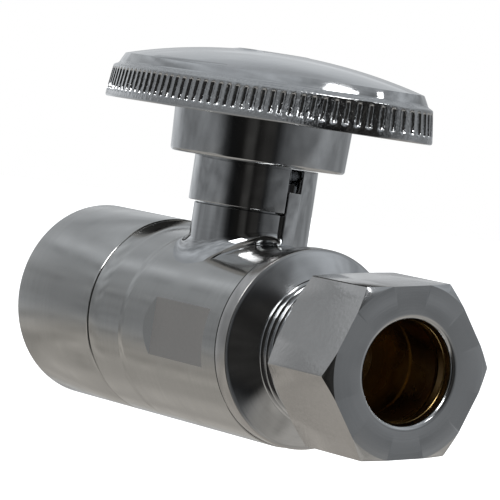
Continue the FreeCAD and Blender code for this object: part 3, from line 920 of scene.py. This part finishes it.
rim_rise, rim_inset = rows_up[-1]
rim_top = band_bottom + rim_rise
top_length, top_width = grip_length - rim_inset, grip_width - rim_inset
dome_rise = 2.1
dome_radius = (top_width ** 2 + dome_rise ** 2) / (2 * dome_rise)
seat_radius = screw_high.x - stem_x + 0.15
seat_edge = seat_radius + 0.12

print("rim edges", pick_rim(grip, rim_top))
pull_between((top_length, top_width), (seat_edge, seat_edge), 12)
bpy.ops.object.mode_set(mode="OBJECT")
for vert in grip.data.vertices:
    if abs(vert.co.z / mm - rim_top) < 0.001:
        share = math.hypot((vert.co.x / mm - stem_x) / top_length, vert.co.y / mm / top_width)
        drop = dome_radius - math.sqrt(dome_radius ** 2 - (top_width * min(share, 1)) ** 2)
        vert.co.z += (dome_rise - drop) * mm

# %% The seat for the screw
seat_rim = handle_high.z
seat_level = screw_high.z - 2.0
screw_hole = 1.2
for vert in grip.data.vertices:
    from_stem = math.hypot(vert.co.x / mm - stem_x, vert.co.y / mm)
    if from_stem < seat_radius + 0.3 and vert.co.z / mm > rim_top:
        vert.co.z = seat_rim * mm
pick_rim(grip, seat_rim)
radius = seat_edge
for next_radius, rise in ((seat_radius + 0.03, -0.03), (seat_radius, -0.1),
                          (seat_radius, seat_level - seat_rim + 0.13), (screw_hole, 0.0)):
    pull_in((radius, radius), (next_radius, next_radius), rise)
    radius = next_radius
bpy.ops.mesh.edge_face_add()
bpy.ops.object.mode_set(mode="OBJECT")
print("dome", round(seat_rim, 2), "mm high at the screw, which sits at", round(seat_level, 2))

# %% The roof of the hollow underneath
hollow_rise, hollow_inset = rows_down[-1]
hollow_roof = band_bottom + hollow_rise
print("hollow edges", pick_rim(grip, hollow_roof))
pull_between((grip_length - hollow_inset, grip_width - hollow_inset), (8.0, 8.0), 3)
bpy.ops.mesh.edge_face_add()
bpy.ops.mesh.select_all(action="SELECT")
bpy.ops.mesh.normals_make_consistent(inside=False)
bpy.ops.object.mode_set(mode="OBJECT")
smooth(grip, 35)
report(grip)

# %% [markdown]
# ## The handle's hub and apron
# Under the grip a round hub reaches down to the neck, and half a sleeve, the apron, hangs from it round
# the neck. The hub is turned. The apron is spun half way round the stem with the stop wall's helper.

# %% The hub
hub_radius, hub_foot_radius = 8.64, 8.49
hub_low, hub_high, hub_bore = 16.45, hollow_roof + 0.2, 3.1
hub_edge = 0.35
hub_outline = [
    (hub_high, hub_bore), (hub_low, hub_bore),
    *arc(hub_low + hub_edge, hub_foot_radius - hub_edge, hub_edge, 180, 90),
    (band_bottom, hub_radius), (hub_high, hub_radius), (hub_high, hub_bore)]
hub = turn("hub", "Z", stem_line, hub_outline)
dress(hub, mirror_grip)
smooth(hub, 30)

# %% The apron, spun half way round the stem
apron_inner, apron_outer = 5.0, 6.03
apron = spin_plate("apron", apron_inner, apron_outer, apron_bottom, hub_low + 0.25, 0, -180)
print("apron reaches y", [round(f(v.co.y for v in apron.data.vertices) / mm, 2) for f in (min, max)])
soften(apron, 0.25, 50, 4)
dress(apron, mirror_grip)
smooth(apron, 30)
report(apron)

# %% The whole handle
def inside_oval(point, inset):
    """Whether a point, in mm, lies inside the grip's outline drawn in by an inset."""
    return ((point.x - stem_x) / (grip_length - inset)) ** 2 + (point.y / (grip_width - inset)) ** 2 < 1


dress(grip, mirror_grip, fluted_rim, painted_underside_shade)
# Painted shade: the hollow under the grip is painted near black for the shade that falls there.
paint(grip, 2, lambda c, n: c.z < hollow_roof + 0.01 and inside_oval(c, 2.1))
paint(grip, 1, lambda c, n: 0.3 < c.z - band_bottom < 3.5 and math.hypot(n.x, n.y) > 0.3
      and not inside_oval(c, 1))
handle = join([grip, hub, apron], "handle_piece")
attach(handle, "operator")
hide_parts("handle")

# %% [markdown]
# ## The camera
# A long lens from well back keeps the valve's parallel edges nearly parallel, as in a catalogue. The
# camera stands low and to the side of the outlet, looks a little above the axis, and is rolled, so
# that the valve runs downhill. Its frame of axes is worked out from those angles, which is surer than
# turning it by hand.

# %% The camera
azimuth, elevation, roll = (math.radians(a) for a in (56.72, 3.16, 8.65))
distance = 400.0
aim_right, aim_up = 0.58, 7.97
upwards = Vector((0, 0, 1))

out = Vector((math.sin(azimuth) * math.cos(elevation), -math.cos(azimuth) * math.cos(elevation),
              math.sin(elevation)))
side = (-out).cross(upwards).normalized()
aim = side * aim_right + side.cross(-out) * aim_up
ahead = (aim - out * distance).normalized()
side = ahead.cross(upwards).normalized()
over = side.cross(ahead)
right = side * math.cos(roll) + over * math.sin(roll)
up = over * math.cos(roll) - side * math.sin(roll)

lens = bpy.data.cameras.new("studio_camera")
lens.lens = 298.3
lens.sensor_width = 36.0
lens.clip_start = 0.01
lens.clip_end = 10.0
camera = bpy.data.objects.new("studio_camera", lens)
bpy.context.scene.collection.objects.link(camera)
facing = Matrix((right, up, -ahead)).transposed().to_4x4()
camera.matrix_world = Matrix.Translation((out * distance + Vector(stem_line)) * mm) @ facing
bpy.context.scene.camera = camera
print("camera at", [round(v / mm) for v in camera.matrix_world.translation], "mm")

# %% [markdown]
# ## The floor
# The valve hangs in white, with no shadow under it. A floor is still there, well below it, and glows
# evenly, so that a view from above also ends in white. Rays that bounce off the chrome don't see it,
# because a glowing floor would wash out the undersides.

# %% The floor
start_clean()
floor_gap = 25
bpy.ops.mesh.primitive_plane_add(size=3, location=(0, 0, (body_low.z - floor_gap) * mm))
floor = bpy.context.object
floor.name = "studio_floor"
pale = bpy.data.materials.new("pale_floor")
pale.use_nodes = True
pale_inputs = pale.node_tree.nodes["Principled BSDF"].inputs
pale_inputs["Base Color"].default_value = (0.9, 0.9, 0.9, 1)
pale_inputs["Emission Color"].default_value = (1, 1, 1, 1)
pale_inputs["Emission Strength"].default_value = 1.0
floor.data.materials.append(pale)
floor.visible_glossy = False
floor.visible_diffuse = False
floor.visible_shadow = False
print("floor at", round(body_low.z - floor_gap, 2), "mm")

# %% [markdown]
# ## The room
# Chrome shows nothing but its surroundings, so the room is the finish. A picture of a real room would
# be one way, but it can't be tuned. Here the room is the world's own shader: a wall whose brightness
# runs through a ramp as one looks round, dark in front of the valve and pale behind it, with a ceiling
# and a ground that it blends into. A noise makes it uneven, as real rooms are. The camera itself sees
# plain white.

# %% The wall, as brightness by bearing from the camera
to_camera = math.degrees(math.atan2(out.y, out.x))
cool, warm = (0.97, 1.0, 1.03), (1.03, 1.0, 0.95)
warm_from, warm_to = -30, 20
wall_lights = [
    (-180, 0.68), (-165, 0.68), (-150, 0.6), (-135, 0.5), (-122, 0.29), (-90, 0.25), (-62, 0.24),
    (-52, 0.12), (-45, 0.03), (-38, 0.008), (-22, 0.01), (-15, 0.045), (-8, 0.045), (-3, 0.012),
    (8, 0.03), (16, 0.03), (22, 0.02), (32, 0.12), (48, 0.14), (60, 0.18), (75, 0.26), (90, 0.34),
    (118, 0.32), (135, 0.26), (150, 0.3), (165, 0.38), (180, 0.68)]

world = bpy.data.worlds.new("studio_room")
bpy.context.scene.world = world
world.use_nodes = True
tree = world.node_tree
tree.nodes.clear()


def along_ramp(degrees):
    """Where a bearing from the camera falls on a ramp that runs once round the room."""
    return (degrees + 180) / 360


ray = node(tree, "ShaderNodeTexCoord").outputs["Generated"]
parts = node(tree, "ShaderNodeSeparateXYZ", [ray]).outputs
around = node(tree, "ShaderNodeMath", [parts["Y"], parts["X"]], operation="ARCTAN2")
whole = node(tree, "ShaderNodeMath",
             [around.outputs["Value"], 1 / (2 * math.pi), 0.5 - to_camera / 360],
             operation="MULTIPLY_ADD")
share = node(tree, "ShaderNodeMath", [whole.outputs["Value"]], operation="FRACT").outputs["Value"]
wall = node(tree, "ShaderNodeValToRGB", [share])
stops = wall.color_ramp.elements
stops[0].position, stops[1].position = 0.0, 1.0
for place, light in wall_lights[1:-1]:
    stops.new(along_ramp(place))
for stop, (place, light) in zip(stops, wall_lights):
    tint = warm if warm_from < place < warm_to else cool
    stop.color = (*(light * c for c in tint), 1)
print("the wall's brightness has", len(stops), "steps")

# %% Ceiling and ground, near the horizon beside the valve and far from it in front
beside = node(tree, "ShaderNodeValToRGB", [share])
for place in (-62, -48, 38, 62):
    beside.color_ramp.elements.new(along_ramp(place))
for stop, light in zip(beside.color_ramp.elements, (1, 1, 0, 0, 1, 1)):
    stop.color = (light, light, light, 1)


def slope(near, far):
    """How far a ray has left the horizon: soon beside the valve, late in front of it."""
    soon, late = (node(tree, "ShaderNodeMapRange", [parts["Z"], *ends],
                       interpolation_type="SMOOTHSTEP").outputs["Result"] for ends in (near, far))
    return mix(tree, beside.outputs["Color"], late, soon, data_type="FLOAT")


ceiling_light, ground_light = (0.46, 0.48, 0.5, 1), (0.45, 0.43, 0.4, 1)
ceiling = mix(tree, slope((0.17, 0.5), (0.57, 0.94)), wall.outputs["Color"], ceiling_light)
ground = mix(tree, slope((-0.12, -0.4), (-0.57, -0.77)), ceiling, ground_light)
print("ceiling and ground blend in")

# %% An uneven room, and white for the camera
drawn = node(tree, "ShaderNodeVectorMath", [ray, (1.6, 1.6, 7.0)], operation="MULTIPLY")
uneven = noise(tree, drawn.outputs["Vector"], 1.6, 3.0)
dim = node(tree, "ShaderNodeMapRange", [uneven, 0.3, 0.7, 0.62, 1.3]).outputs["Result"]
lived_in = mix(tree, 1.0, ground, dim, blend_type="MULTIPLY")
camera_ray = node(tree, "ShaderNodeLightPath").outputs["Is Camera Ray"]
glow = node(tree, "ShaderNodeBackground", [mix(tree, camera_ray, lived_in, (1, 1, 1, 1))])
feed(tree, node(tree, "ShaderNodeOutputWorld").inputs["Surface"], glow.outputs["Background"])
print("the room has", len(tree.nodes), "nodes")

# %% [markdown]
# ## The soft boxes
# Two soft lights above the front give the hot spots on the dome and on the round of the neck's foot.
# They are area lights, which chrome reflects as white rectangles, and the camera can't see them.

# %% The soft boxes
box_reach = 0.6
lit_height = 10


def soft_box(name, away_deg, height_deg, wide, tall, brightness):
    """A soft light at a bearing from the camera and a height, both in degrees, aimed at the valve."""
    bearing, height = math.radians(away_deg + to_camera), math.radians(height_deg)
    toward = Vector((math.cos(bearing) * math.cos(height), math.sin(bearing) * math.cos(height),
                     math.sin(height)))
    lamp = bpy.data.lights.new(name, "AREA")
    lamp.shape = "RECTANGLE"
    lamp.size, lamp.size_y = wide, tall
    lamp.energy = brightness * 4 * wide * tall
    box = bpy.data.objects.new(name, lamp)
    bpy.context.scene.collection.objects.link(box)
    centre = Vector((stem_x, 0, lit_height)) * mm
    aimed = toward.to_track_quat("Z", "Y").to_matrix().to_4x4()
    box.matrix_world = Matrix.Translation(centre + toward * box_reach) @ aimed
    box.visible_camera = False
    print(name, "gives", round(lamp.energy, 3), "W")


soft_box("front_box", -36, 43, 0.26, 0.22, 5.0)
soft_box("side_box", 27, 50, 0.08, 0.12, 5.0)
bpy.context.scene.view_settings.view_transform = "Standard"
